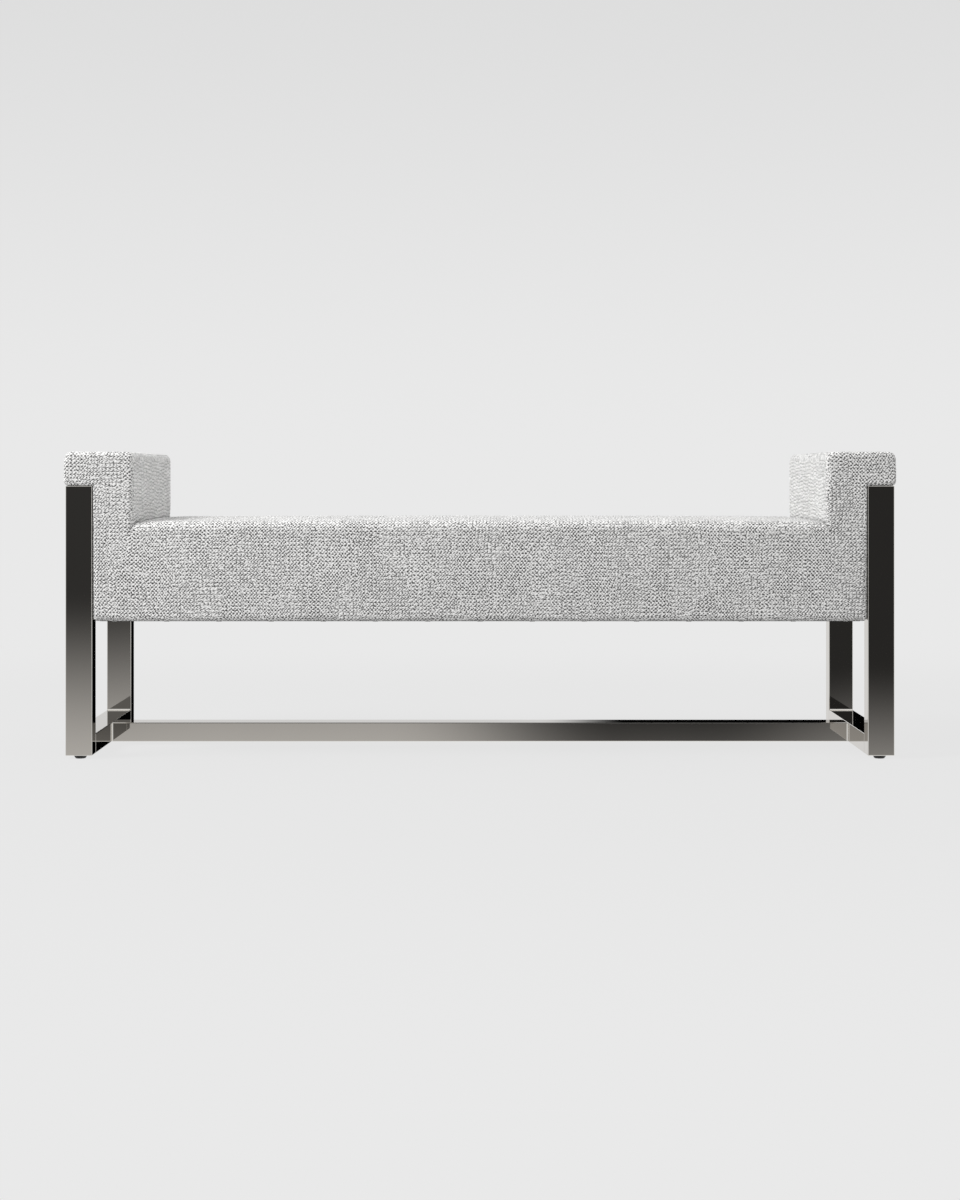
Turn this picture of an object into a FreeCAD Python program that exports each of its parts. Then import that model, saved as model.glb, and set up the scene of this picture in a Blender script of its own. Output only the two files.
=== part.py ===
"""Upholstered bench on a polished tube frame: two end frames, a stretcher and a padded body with low arms.

Millimetres. +X runs along the bench, -Y is the front, +Z is up, and the origin is on the floor under the
centre. The sheet "sizes" holds every driving dimension, and the sheet "places" what follows from them.
Each sub-part is an object of the document, and its Label is the name of its file.
"""
import FreeCAD
import Part
import Sketcher
import math
import os
import re

SIZES = (
    # tube frame
    ("frame_width", 1580, "outside of the end frames, along the bench"),
    ("frame_depth", 470, "outside of the legs, front to rear"),
    ("frame_height", 521, "floor to the top of the end frames"),
    ("tube_width", 50.8, "wide side of every tube"),
    ("tube_depth", 38.1, "narrow side of every tube"),
    ("tube_wall", 2, "wall of every tube"),
    ("tube_round", 1.5, "rounding of the tubes' outer edges"),
    ("cap_thick", 3, "plate that closes the top of a leg"),
    ("foot_plate_thick", 4, "plate that closes the bottom of a leg"),
    ("weld_leg", 3, "polished hollow weld in a corner between two tubes"),
    # levelling glides
    ("glide_height", 6.5, "floor to the bottom of a leg"),
    ("glide_width", 25, "glide base at its widest"),
    ("glide_foot_width", 19, "flat of the glide base on the floor"),
    ("glide_rim", 2, "straight side of the glide base"),
    ("glide_round", 1, "rounding where the rim meets the slope"),
    ("stem_width", 8, "threaded stem of a glide"),
    ("stem_embed", 4, "stem inside the glide base"),
    ("stem_reach", 26, "stem above the glide base"),
    ("stem_play", 0.1, "room round the stem in the plate and the nut"),
    ("nut_across", 13, "weld nut across its flats"),
    ("nut_height", 6.5, "weld nut"),
    # outline of the upholstered body
    ("body_gap", 1, "between the legs and the ends of the body"),
    ("body_bottom", 263, "floor to the underside of the body"),
    ("arm_over", 4, "arm beyond the outside of the end frame"),
    ("arm_thick", 78.2, "arm inside the end frame"),
    ("arm_top_thick", 41, "padding on top of an arm board"),
    ("cover_thick", 3, "woven cover with its backing"),
    ("cover_flange", 30, "edge of the cover turned in under the body"),
    ("edge_round", 6, "rounding along the front and rear outlines"),
    ("low_extra", 2, "what the lower corners of the arm outline have over edge_round"),
    ("high_extra", 6, "what the upper corners of the arm outline have over edge_round"),
    ("seat_roll", 18, "rounding of the front and rear edges of the seat"),
    ("seat_crown", 1.5, "rise of the seat from its ends to its middle"),
    ("seat_bow", 5, "rise of the seat from front to middle"),
    ("seat_tuck", 30, "seat carried on inside the arm"),
    # padding and wooden carcass
    ("seat_foam_thick", 70.6, "seat foam at the middle"),
    ("felt_thick", 3, "felt over the springs"),
    ("border_pad_thick", 10, "padding on the front and rear rails"),
    ("side_pad_thick", 5, "padding on the ends"),
    ("seat_rail_thick", 25, "front and rear rails of the carcass"),
    ("seat_rail_height", 110, "front and rear rails of the carcass"),
    ("panel_thick", 20, "upright panel in each arm"),
    ("board_thick", 18, "board on top of each arm panel"),
    ("board_inset", 13, "arm board behind the inner side of the arm"),
    ("brace_thick", 20, "cross braces"),
    ("brace_height", 80, "cross braces"),
    ("brace_pitch", 340, "between the cross braces"),
    ("block_leg", 60, "corner blocks along each wall"),
    ("block_height", 80, "corner blocks"),
    # springs
    ("spring_wire", 3.6, "wire of the sinuous springs"),
    ("spring_swing", 50, "a spring from side to side"),
    ("spring_pitch", 140, "between the springs"),
    ("clip_sheet", 1.2, "sheet of the spring clips"),
    ("clip_play", 0.3, "room round the wire in a clip"),
    ("clip_width", 20, "spring clips along the rail"),
    ("clip_reach", 6, "spring clip on each side of the wire's middle"),
    # fixings
    ("bolt_pitch", 140, "between the bolts of an arm"),
    ("bolt_width", 8, "arm bolts"),
    ("bolt_play", 0.5, "room round an arm bolt"),
    ("bolt_head_width", 13, "head of an arm bolt"),
    ("bolt_head_height", 8, "head of an arm bolt"),
    ("bolt_short", 3, "end of a bolt below the top of the arm board"),
    ("washer_width", 16, "washers of the arm bolts"),
    ("washer_thick", 1.6, "washers of the arm bolts"),
    ("insert_width", 12, "threaded inserts in the arm boards"),
    ("access_width", 18, "access holes under the top rails"),
    ("plug_width", 22, "flange of a hole plug"),
    ("plug_flange", 1.5, "flange of a hole plug"),
    ("plug_depth", 6, "plug inside the rail"),
    ("plug_play", 0.2, "room round a plug"),
    ("screw_width", 5, "wood screws"),
    ("screw_head_width", 10, "head of a wood screw"),
    ("screw_head_height", 3, "head of a wood screw"),
    ("rail_screw_length", 60, "screws through a panel into a rail"),
    ("board_screw_length", 50, "screws through a board into a panel"),
    ("board_screw_pitch", 170, "between the screws of an arm board"),
    # dust cover
    ("dust_thick", 0.8, "dust cover"),
    ("dust_margin", 12, "dust cover inside the outline of the body"),
    ("staple_margin", 20, "staples inside the outline of the body"),
    ("staple_pitch", 100, "between the staples"),
    ("staple_crown", 10, "staple along its row"),
    ("staple_leg", 10, "staple into the wood"),
    ("staple_wire", 1.2, "staple wire"),
    # one overrun serves every cut
    ("overrun", 5, "how far a cutting shape passes the face that it cuts"),
)

PLACES = (
    # tube frame
    ("leg_x", "(frame_width - tube_width) / 2"),
    ("leg_y", "(frame_depth - tube_depth) / 2"),
    ("front", "frame_depth / 2"),
    ("frame_inside", "frame_width / 2 - tube_width"),
    ("bore_width", "tube_width - 2 * tube_wall"),
    ("bore_depth", "tube_depth - 2 * tube_wall"),
    ("floor_rail_z", "glide_height + tube_depth / 2"),
    ("floor_rail_top", "glide_height + tube_depth"),
    ("rail_end", "frame_depth / 2 - tube_depth"),
    ("top_rail_z", "frame_height - tube_depth / 2"),
    ("top_rail_low", "frame_height - tube_depth"),
    ("top_wall_low", "frame_height - tube_wall"),
    ("plate_high", "glide_height + foot_plate_thick"),
    # outside of the upholstered body
    ("body_half", "frame_width / 2 - tube_width - body_gap"),
    ("arm_inner", "body_half - arm_thick"),
    ("arm_outer", "frame_width / 2 + arm_over"),
    # carcass and padding, from the inside of the cover
    ("in_half", "body_half - cover_thick"),
    ("in_front", "front - cover_thick"),
    ("in_bottom", "body_bottom + cover_thick"),
    ("in_arm", "arm_inner + cover_thick"),
    ("in_outer", "arm_outer - cover_thick"),
    ("wood_front", "in_front - border_pad_thick"),
    ("panel_out", "in_half - side_pad_thick"),
    ("panel_in", "panel_out - panel_thick"),
    ("panel_mid", "panel_out - panel_thick / 2"),
    ("board_low", "frame_height + cover_thick"),
    ("board_high", "board_low + board_thick"),
    ("arm_top", "board_high + arm_top_thick + cover_thick"),
    ("seat_rail_in", "wood_front - seat_rail_thick"),
    ("seat_rail_mid", "wood_front - seat_rail_thick / 2"),
    ("seat_rail_top", "in_bottom + seat_rail_height"),
    # springs and seat
    ("clip_gap_low", "seat_rail_top + clip_sheet"),
    ("spring_z", "clip_gap_low + clip_play + spring_wire / 2"),
    ("clip_gap_high", "clip_gap_low + spring_wire + 2 * clip_play"),
    ("felt_low", "clip_gap_high + clip_sheet"),
    ("foam_low", "felt_low + felt_thick"),
    ("seat_top", "foam_low + seat_foam_thick + cover_thick"),
    # dust cover
    ("dust_low", "body_bottom - dust_thick"),
)

SPRING_RUNS = 17
RAIL_SCREW_HEIGHT_SHARES = (0.25, 0.75)
SIDES = (("left", -1), ("right", 1))
ENDS = (("front", -1), ("rear", 1))
NEAR = 1e-4  # points closer than this are the same point

doc = FreeCAD.newDocument("bench")
sheet_of = {}
nodes = []


def fill_sheet(name, rows):
    """A sheet with one named cell per row, holding a plain number or a formula."""
    sheet = doc.addObject("Spreadsheet::Sheet", name)
    for number, (alias, content, *note) in enumerate(rows, 1):
        formula = isinstance(content, str)
        sheet.set(f"A{number}", alias)
        sheet.set(f"B{number}", "=" + bound(content, name) if formula else str(content))
        sheet.setAlias(f"B{number}", alias)
        sheet.set(f"C{number}", "".join(note))
        sheet_of[alias] = name
    doc.recompute()


def bound(formula, home=None):
    """A formula in size names, as an expression that finds each name in its sheet."""
    def found(word):
        sheet = sheet_of.get(word.group())
        return word.group() if sheet in (None, home) else f"{sheet}.{word.group()}"
    return re.sub("[a-z_]+", found, formula)


def size(name):
    """The value of one named cell."""
    return doc.getObject(sheet_of[name]).get(name)


def bind(made, **formulas):
    """Binds properties of an object, with x, y and z for its place."""
    for name, formula in formulas.items():
        made.setExpression(f"Placement.Base.{name}" if name in "xyz" else name, bound(formula))
    return made


def node(label, made):
    """Names an object as a sub-part of the bench."""
    made.Label = label
    nodes.append(made)
    return made


def block(name, across, along, up):
    """A box between pairs of formulas on X, Y and Z."""
    made = doc.addObject("Part::Box", name)
    for side, axis, (low, high) in (("Length", "x", across), ("Width", "y", along), ("Height", "z", up)):
        bind(made, **{side: f"({high}) - ({low})", axis: low})
    return made


def about(half):
    """A pair of formulas as far on both sides of the middle."""
    return f"-({half})", half


def beside(sign, near, far):
    """A pair of formulas on one side of the middle."""
    return (near, far) if sign > 0 else (f"-({far})", f"-({near})")


def rod(name, width, low, high):
    """A cylinder on the Z axis between two heights."""
    made = doc.addObject("Part::Cylinder", name)
    return bind(made, Radius=f"({width}) / 2", Height=f"({high}) - ({low})", z=low)


def cut(name, base, tool):
    """One object less another."""
    made = doc.addObject("Part::Cut", name)
    made.Base, made.Tool = base, tool
    return made


def common(name, base, tool):
    """What two objects share."""
    made = doc.addObject("Part::Common", name)
    made.Base, made.Tool = base, tool
    return made


def fused(name, *pieces):
    """Several objects as one solid."""
    made = doc.addObject("Part::MultiFuse", name)
    made.Shapes = list(pieces)
    return made


def copies(name, master, spots):
    """Equal pieces in one object, each at a spot of three formulas, turned by an axis and an angle."""
    group = doc.addObject("Part::Compound", name)
    links = []
    for number, (x, y, z, *turn) in enumerate(spots, 1):
        link = doc.addObject("App::Link", f"{name}_{number}")
        link.LinkedObject = master
        link.LinkTransform = True
        link.Placement = FreeCAD.Placement(FreeCAD.Vector(), FreeCAD.Rotation(*turn))
        links.append(bind(link, x=x, y=y, z=z))
    group.Links = links
    return group


def sketch_on(body, name, role):
    """A sketch on one of a body's own origin planes."""
    sketch = body.newObject("Sketcher::SketchObject", name)
    plane = next(feature for feature in body.Origin.OriginFeatures if feature.Role == role)
    sketch.AttachmentSupport = [(plane, "")]
    sketch.MapMode = "FlatFace"
    return sketch


def outline(sketch, points):
    """A closed outline whose corners are bound to pairs of formulas; it starts as a unit polygon."""
    first = sketch.GeometryCount
    count = len(points)
    turns = [math.tau * number / count for number in range(count)]
    ring = [FreeCAD.Vector(math.cos(turn), math.sin(turn), 0) for turn in turns]
    for number in range(count):
        sketch.addGeometry(Part.LineSegment(ring[number], ring[(number + 1) % count]))
    for number in range(count):
        line, following = first + number, first + (number + 1) % count
        sketch.addConstraint(Sketcher.Constraint("Coincident", line, 2, following, 1))
        starts = (("DistanceX", ring[number].x), ("DistanceY", ring[number].y))
        for (kind, start), formula in zip(starts, points[number]):
            index = sketch.addConstraint(Sketcher.Constraint(kind, -1, 1, line, 1, start))
            sketch.setExpression(f"Constraints[{index}]", bound(formula))


def corners(half_width, half_height):
    """The four corners of a rectangle about the origin."""
    signs = ((-1, -1), (1, -1), (1, 1), (-1, 1))
    return [(f"{across} * {half_width}", f"{up} * {half_height}") for across, up in signs]


def padded(body, sketch, length):
    """A pad to both sides of a sketch's plane."""
    pad = body.newObject("PartDesign::Pad", f"{body.Name}_pad")
    pad.Profile = sketch
    pad.SideType = "Symmetric"
    return bind(pad, Length=length)


def outer_edge(edge, box):
    """Whether an edge lies where two sides of a box meet."""
    sides = zip(edge.CenterOfMass, (box.XMin, box.YMin, box.ZMin), (box.XMax, box.YMax, box.ZMax))
    return sum(min(abs(middle - low), abs(high - middle)) < NEAR for middle, low, high in sides) == 2


def level_edge(edge, z):
    """Whether an edge lies flat at one height."""
    return edge.BoundBox.ZLength < NEAR and abs(edge.BoundBox.ZMin - z) < NEAR


def tube(name, role, length, x, y, z):
    """A rectangular tube square to an origin plane, with its outer edges rounded."""
    body = bind(doc.addObject("PartDesign::Body", name), x=x, y=y, z=z)
    sketch = sketch_on(body, f"{name}_section", role)
    outline(sketch, corners("tube_width / 2", "tube_depth / 2"))
    outline(sketch, corners("bore_width / 2", "bore_depth / 2"))
    pad = padded(body, sketch, length)
    doc.recompute()
    box = pad.Shape.BoundBox
    rounding = body.newObject("PartDesign::Fillet", f"{name}_rounding")
    rounding.Base = (pad, [f"Edge{number}" for number, edge in enumerate(pad.Shape.Edges, 1)
                           if outer_edge(edge, box)])
    bind(rounding, Radius="tube_round")
    return body


def make_frame():
    """Two end frames of four tubes each, and the stretcher between their floor rails."""
    spots = [(f"{across} * leg_x", f"{along} * leg_y") for _, along in ENDS for _, across in SIDES]
    for end, along in ENDS:
        for side, across in SIDES:
            label = f"{end}_{side}_leg"
            node(label, tube(label, "XY_Plane", "frame_height - glide_height", f"{across} * leg_x",
                             f"{along} * leg_y", "(frame_height + glide_height) / 2"))
    for side, across in SIDES:
        label = f"{side}_floor_rail"
        node(label, tube(label, "XZ_Plane", "frame_depth - 2 * tube_depth", f"{across} * leg_x", "0",
                         "floor_rail_z"))
    node("stretcher", tube("stretcher", "YZ_Plane", "frame_width - 2 * tube_width", "0", "0", "floor_rail_z"))

    cap = block("leg_top_cap", about("bore_width / 2"), about("bore_depth / 2"), ("-cap_thick", "0"))
    node("leg_top_caps", copies("leg_top_caps", cap, [(x, y, "frame_height") for x, y in spots]))
    stem_hole = "stem_width + 2 * stem_play"
    plate = cut("leg_foot_plate",
                block("foot_plate_blank", about("bore_width / 2"), about("bore_depth / 2"),
                      ("0", "foot_plate_thick")),
                rod("foot_plate_hole", stem_hole, "-overrun", "foot_plate_thick + overrun"))
    node("leg_foot_plates", copies("leg_foot_plates", plate, [(x, y, "glide_height") for x, y in spots]))
    hexagon = bind(doc.addObject("Part::Prism", "nut_blank"), Circumradius="nut_across / sqrt(3)",
                   Height="nut_height")
    hexagon.Polygon = 6
    nut = cut("glide_nut", hexagon, rod("nut_hole", stem_hole, "-overrun", "nut_height + overrun"))
    node("glide_nuts", copies("glide_nuts", nut, [(x, y, "plate_high") for x, y in spots]))


def weld(name, length):
    """A hollow weld about the Z axis, with its corner on the axis and its legs along +X and +Y."""
    square = ("0", "weld_leg")
    hollow = bind(rod(f"{name}_hollow", "2 * weld_leg", f"-({length})", length), x="weld_leg", y="weld_leg")
    return cut(name, block(f"{name}_blank", square, square, about(f"({length}) / 2")), hollow)


def make_welds():
    """Welds beside the stretcher's ends and where the rails meet the legs, clear of the rounded edges."""
    upright = FreeCAD.Vector(0, 0, 1)
    beside_stretcher = weld("stretcher_weld", "tube_depth - 2 * tube_round")
    node("stretcher_welds", copies("stretcher_welds", beside_stretcher, [
        (f"{across} * frame_inside", f"{along} * tube_width / 2", "floor_rail_z", upright, turn)
        for across, along, turn in ((-1, 1, 0), (1, 1, 90), (1, -1, 180), (-1, -1, 270))]))
    on_rail = weld("rail_weld", "tube_width - 2 * tube_round")
    spots = []
    for height, up in (("floor_rail_top", 1), ("top_rail_low", -1)):
        for _, along in ENDS:
            legs = FreeCAD.Vector(0, -along, 0), FreeCAD.Vector(0, 0, up)
            axis = legs[0].cross(legs[1])
            spots += [(f"{across} * leg_x", f"{along} * rail_end", height, *legs, axis, "XYZ")
                      for _, across in SIDES]
    node("rail_welds", copies("rail_welds", on_rail, spots))


def make_glides():
    """Four levelling glides: a turned base on the floor and a stem up into the leg."""
    for end, along in ENDS:
        for side, across in SIDES:
            x, y = f"{across} * leg_x", f"{along} * leg_y"
            label = f"{end}_{side}_glide_base"
            body = bind(doc.addObject("PartDesign::Body", label), x=x, y=y)
            sketch = sketch_on(body, f"{label}_section", "XZ_Plane")
            rim, foot, stem = "glide_width / 2", "glide_foot_width / 2", "stem_width / 2"
            slope_top, socket_floor = "glide_height - glide_rim", "glide_height - stem_embed"
            outline(sketch, (("0", "0"), (foot, "0"), (rim, slope_top), (rim, "glide_height"),
                             (stem, "glide_height"), (stem, socket_floor), ("0", socket_floor)))
            turned = body.newObject("PartDesign::Revolution", f"{label}_turned")
            turned.Profile = sketch
            turned.ReferenceAxis = (sketch, ["V_Axis"])
            doc.recompute()
            bend = size("glide_height") - size("glide_rim")
            rounding = body.newObject("PartDesign::Fillet", f"{label}_rounding")
            rounding.Base = (turned, [f"Edge{number}" for number, edge in enumerate(turned.Shape.Edges, 1)
                                      if level_edge(edge, bend)])
            bind(rounding, Radius="glide_round")
            node(label, body)
            label = f"{end}_{side}_glide_stem"
            node(label, bind(rod(label, "stem_width", socket_floor, "glide_height + stem_reach"), x=x, y=y))


def edges_along_y(solid, x, z):
    """The edges of a solid that run along Y through one spot."""
    return [edge for edge in solid.Edges
            if all(math.hypot(corner.X - x, corner.Z - z) < NEAR for corner in edge.Vertexes)]


def edges_in_planes(solid, half):
    """The edges of a solid that lie in its front or rear plane."""
    return [edge for edge in solid.Edges
            if edge.BoundBox.YLength < NEAR and abs(abs(edge.CenterOfMass.y) - half) < NEAR]


def long_edges(solid, half, z):
    """The edges along a solid, in its front or rear plane, that are nearest to one height."""
    length = solid.BoundBox.XLength / 2
    edges = [edge for edge in edges_in_planes(solid, half) if edge.BoundBox.XLength > length]
    least = min(abs(edge.CenterOfMass.z - z) for edge in edges)
    return [edge for edge in edges if abs(edge.CenterOfMass.z - z) < least + NEAR]


def arm_form(inset, across):
    """One arm from the underside of the body to its top: a hooked outline with round corners and edges."""
    half = size("front") - inset
    inner, outer = size("arm_inner") + inset, size("arm_outer") - inset
    wall = size("body_half") - inset
    low, high = size("body_bottom") + inset, size("arm_top") - inset
    under = size("frame_height") + inset
    edge = size("edge_round") - inset
    lower, upper = edge + size("low_extra"), edge + size("high_extra")
    fold = size("body_gap") + inset
    spots = [(inner, low, lower), (wall, low, lower), (wall, under, fold),
             (outer, under, lower), (outer, high, upper), (inner, high, upper)]
    ring = [FreeCAD.Vector(across * x, -half, z) for x, z, _ in spots]
    solid = Part.Face(Part.makePolygon(ring + ring[:1])).extrude(FreeCAD.Vector(0, 2 * half, 0))
    for x, z, radius in spots:
        solid = solid.makeFillet(radius, edges_along_y(solid, across * x, z))
    return solid.makeFillet(edge, edges_in_planes(solid, half))


def crown_arc(x, half, rise):
    """The arc across the seat at one place along it, which falls by seat_bow on each side of its middle."""
    fall = size("seat_bow") * (half / size("front")) ** 2
    high = size("seat_top") - rise - size("seat_crown") * (x / size("arm_inner")) ** 2
    points = [FreeCAD.Vector(x, y, high - drop) for y, drop in ((-half, fall), (0, 0), (half, fall))]
    return Part.Wire(Part.Arc(*points).toShape())


def seat_form(inset):
    """The seat between the arms and a little into them, with a crown that falls to all sides."""
    half = size("front") - inset
    reach = size("arm_inner") + size("seat_tuck")
    low, high = size("body_bottom") + inset, size("seat_top") - inset
    spare = size("overrun")
    arcs = [crown_arc(x, half + spare, inset) for x in (-reach - spare, 0, reach + spare)]
    above = Part.makeLoft(arcs, False, False).Faces[0].extrude(FreeCAD.Vector(0, 0, high))
    solid = Part.makeBox(2 * reach, 2 * half, high - low, FreeCAD.Vector(-reach, -half, low))
    solid = solid.makeFillet(size("edge_round") - inset, long_edges(solid, half, low)).cut(above)
    return solid.makeFillet(size("seat_roll") - inset, long_edges(solid, half, solid.BoundBox.ZMax))


def upholstery_form(name, inset):
    """The body's whole outline, or the same drawn in on every side."""
    made = doc.addObject("Part::Feature", name)
    arms = [arm_form(inset, across) for _, across in SIDES]
    made.Shape = seat_form(inset).fuse(arms).removeSplitter()
    return made


def make_carcass(inner):
    """Rails, arm panels and boards, braces and corner blocks, with the screws that hold them."""
    up = ("in_bottom", "seat_rail_top")
    head = rod("screw_head", "screw_head_width", "-screw_head_height", "0")
    rail_shank = rod("rail_screw_shank", "screw_width", "-rail_screw_length", "0")
    board_shank = rod("board_screw_shank", "screw_width", "-board_screw_length", "0")
    rail_screws = copies("rail_screws", fused("rail_screw", head, rail_shank), [
        (f"{across} * panel_out", f"{along} * seat_rail_mid", f"in_bottom + {share} * seat_rail_height",
         FreeCAD.Vector(0, 1, 0), 90 * across)
        for _, across in SIDES for _, along in ENDS for share in RAIL_SCREW_HEIGHT_SHARES])
    board_screws = copies("board_screws", fused("board_screw", head, board_shank), [
        (f"{across} * panel_mid", f"{step} * board_screw_pitch", "board_high")
        for _, across in SIDES for step in (-1, 0, 1)])
    node("rail_screws", rail_screws)
    node("board_screws", board_screws)

    for end, along in ENDS:
        label = f"{end}_seat_rail"
        blank = block(f"{label}_blank", about("panel_in"), beside(along, "seat_rail_in", "wood_front"), up)
        node(label, cut(label, blank, rail_screws))
    insert_holes = insert_barrels("arm_board_holes")
    for side, across in SIDES:
        label = f"{side}_arm_panel"
        blank = block(f"{label}_blank", beside(across, "panel_in", "panel_out"), about("wood_front"),
                      ("in_bottom", "board_low"))
        within = common(f"{label}_within", blank, inner)
        node(label, cut(label, cut(f"{label}_bored", within, rail_screws), board_screws))
        label = f"{side}_arm_board"
        blank = block(f"{label}_blank", beside(across, "in_arm + board_inset", "in_outer"), about("in_front"),
                      ("board_low", "board_high"))
        within = common(f"{label}_within", blank, inner)
        node(label, cut(label, cut(f"{label}_bored", within, insert_holes), board_screws))

    for label, step in (("left_cross_brace", -1), ("centre_cross_brace", 0), ("right_cross_brace", 1)):
        middle = f"{step} * brace_pitch"
        node(label, block(label, (f"{middle} - brace_thick / 2", f"{middle} + brace_thick / 2"),
                          about("seat_rail_in"), ("in_bottom", "in_bottom + brace_height")))
    for end, along in ENDS:
        for side, across in SIDES:
            label = f"{end}_{side}_corner_block"
            body = bind(doc.addObject("PartDesign::Body", label), z="in_bottom + block_height / 2")
            sketch = sketch_on(body, f"{label}_section", "XY_Plane")
            x, y = f"{across} * panel_in", f"{along} * seat_rail_in"
            outline(sketch, ((x, y), (f"{x} - {across} * block_leg", y), (x, f"{y} - {along} * block_leg")))
            padded(body, sketch, "block_height")
            node(label, body)


def bolt_spots(z):
    """Three places along each top rail, at one height."""
    return [(f"{across} * leg_x", f"{step} * bolt_pitch", z) for _, across in SIDES for step in (-1, 0, 1)]


def insert_barrels(name):
    """The holes that the threaded inserts fill."""
    return copies(name, rod(f"{name}_barrel", "insert_width", "0", "board_thick"), bolt_spots("board_low"))


def make_arm_fixings():
    """Top rails, and the bolts that hold the arm boards down on them through plugged access holes."""
    hole = "bolt_width + 2 * bolt_play"
    upper = copies("upper_wall_holes", rod("upper_wall_hole", hole, "-overrun", "tube_wall + overrun"),
                   bolt_spots("top_wall_low"))
    access = rod("lower_wall_hole", "access_width", "-overrun", "tube_wall + overrun")
    lower = copies("lower_wall_holes", access, bolt_spots("top_rail_low"))
    for side, across in SIDES:
        label = f"{side}_top_rail"
        blank = tube(f"{label}_blank", "XZ_Plane", "frame_depth - 2 * tube_depth", f"{across} * leg_x", "0",
                     "top_rail_z")
        node(label, cut(label, cut(f"{label}_bolted", blank, upper), lower))
    washer = cut("washer", rod("washer_blank", "washer_width", "-washer_thick", "0"),
                 rod("washer_hole", hole, "-washer_thick - overrun", "overrun"))
    head_low = "-washer_thick - bolt_head_height"
    bolt = fused("bolt", rod("bolt_head", "bolt_head_width", head_low, "-washer_thick"),
                 rod("bolt_shank", "bolt_width", head_low, "board_high - bolt_short - top_wall_low"))
    insert = cut("insert", rod("insert_blank", "insert_width", "0", "board_thick"),
                 rod("insert_hole", "bolt_width", "-overrun", "board_thick + overrun"))
    plug = fused("plug", rod("plug_flange_disc", "plug_width", "-plug_flange", "0"),
                 rod("plug_barrel", "access_width - 2 * plug_play", "-plug_flange", "plug_depth"))
    node("arm_bolt_washers", copies("arm_bolt_washers", washer, bolt_spots("top_wall_low")))
    node("arm_bolts", copies("arm_bolts", bolt, bolt_spots("top_wall_low")))
    node("arm_inserts", copies("arm_inserts", insert, bolt_spots("board_low")))
    node("hole_plugs", copies("hole_plugs", plug, bolt_spots("top_rail_low")))


def spring_path():
    """The middle line of one sinuous spring: straight runs across, joined by half circles."""
    far = size("seat_rail_mid")
    gap = 2 * far / (SPRING_RUNS - 1)
    bend = gap / 2
    reach = size("spring_swing") / 2 - size("spring_wire") / 2 - bend
    edges = []
    for run in range(SPRING_RUNS):
        y, side = run * gap - far, 1 if run % 2 == 0 else -1
        end = FreeCAD.Vector(side * reach, y, 0)
        edges.append(Part.LineSegment(FreeCAD.Vector(-side * reach, y, 0), end).toShape())
        if run < SPRING_RUNS - 1:
            over = FreeCAD.Vector(side * (reach + bend), y + bend, 0)
            edges.append(Part.Arc(end, over, FreeCAD.Vector(side * reach, y + gap, 0)).toShape())
    return Part.Wire(edges)


def make_springs():
    """Sinuous springs from rail to rail, as many as fit between the arms, with clips and felt."""
    path = spring_path()
    start = path.Edges[0].Vertexes[0].Point
    ring = Part.Wire(Part.makeCircle(size("spring_wire") / 2, start, path.Edges[0].tangentAt(0)))
    spring = doc.addObject("Part::Feature", "spring")
    spring.Shape = path.makePipeShell([ring], True, False)
    each_way = int((size("in_arm") - size("spring_swing") / 2) / size("spring_pitch"))
    steps = range(-each_way, each_way + 1)
    node("seat_springs", copies("seat_springs", spring,
                                [(f"{step} * spring_pitch", "0", "spring_z") for step in steps]))
    across = about("clip_width / 2")
    whole = about("clip_reach")
    clip = fused("spring_clip", block("clip_base", across, whole, ("seat_rail_top", "clip_gap_low")),
                 block("clip_back", across, ("clip_reach - clip_sheet", "clip_reach"),
                       ("seat_rail_top", "felt_low")),
                 block("clip_lip", across, whole, ("clip_gap_high", "felt_low")))
    upright = FreeCAD.Vector(0, 0, 1)
    node("spring_clips", copies("spring_clips", clip, [
        (f"{step} * spring_pitch", f"{along} * seat_rail_mid", "0", upright, 90 - 90 * along)
        for _, along in ENDS for step in steps]))
    node("spring_felt", block("spring_felt", about("in_arm"), about("wood_front"), ("felt_low", "foam_low")))


def make_padding(inner):
    """Foam and pads between the carcass and the cover, each cut to the inside of the cover."""
    def filled(label, across, along, up):
        return common(label, block(f"{label}_blank", across, along, up), inner)

    node("seat_foam", filled("seat_foam", about("in_arm"), about("front"), ("foam_low", "seat_top")))
    for end, sign in ENDS:
        label = f"{end}_border_pad"
        node(label, filled(label, about("body_half"), beside(sign, "wood_front", "front"),
                           ("in_bottom", "foam_low")))
    for side, sign in SIDES:
        label = f"{side}_side_pad"
        node(label, filled(label, beside(sign, "panel_out", "body_half"), about("wood_front"),
                           ("in_bottom", "foam_low")))
        label = f"{side}_arm_pad"
        blank = filled(f"{label}_whole", beside(sign, "in_arm", "arm_outer"), about("front"),
                       ("foam_low", "board_high"))
        panel = block(f"{label}_panel", beside(sign, "panel_in", "panel_out"), about("wood_front"),
                      ("in_bottom", "board_low"))
        board = block(f"{label}_board", beside(sign, "in_arm + board_inset", "arm_outer"), about("front"),
                      ("board_low", "board_high"))
        node(label, cut(label, blank, fused(f"{label}_wood", panel, board)))
        label = f"{side}_arm_top_pad"
        node(label, filled(label, beside(sign, "arm_inner", "arm_outer"), about("front"),
                           ("board_high", "arm_top")))


def make_cover(outer, inner):
    """The sewn cover, open below inside its turned-in edge, and the stapled dust cover that closes it."""
    window = block("cover_window", about("body_half - cover_flange"), about("front - cover_flange"),
                   ("body_bottom - overrun", "in_bottom"))
    holes = copies("cover_holes", rod("cover_hole", "bolt_width + 2 * bolt_play", "-overrun",
                                      "cover_thick + overrun"), bolt_spots("frame_height"))
    shell = cut("cover_shell", outer, inner)
    node("cover", cut("cover", cut("cover_open", shell, window), holes))
    node("dust_cover", block("dust_cover", about("body_half - dust_margin"), about("front - dust_margin"),
                             ("dust_low", "body_bottom")))
    make_staples()


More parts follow.
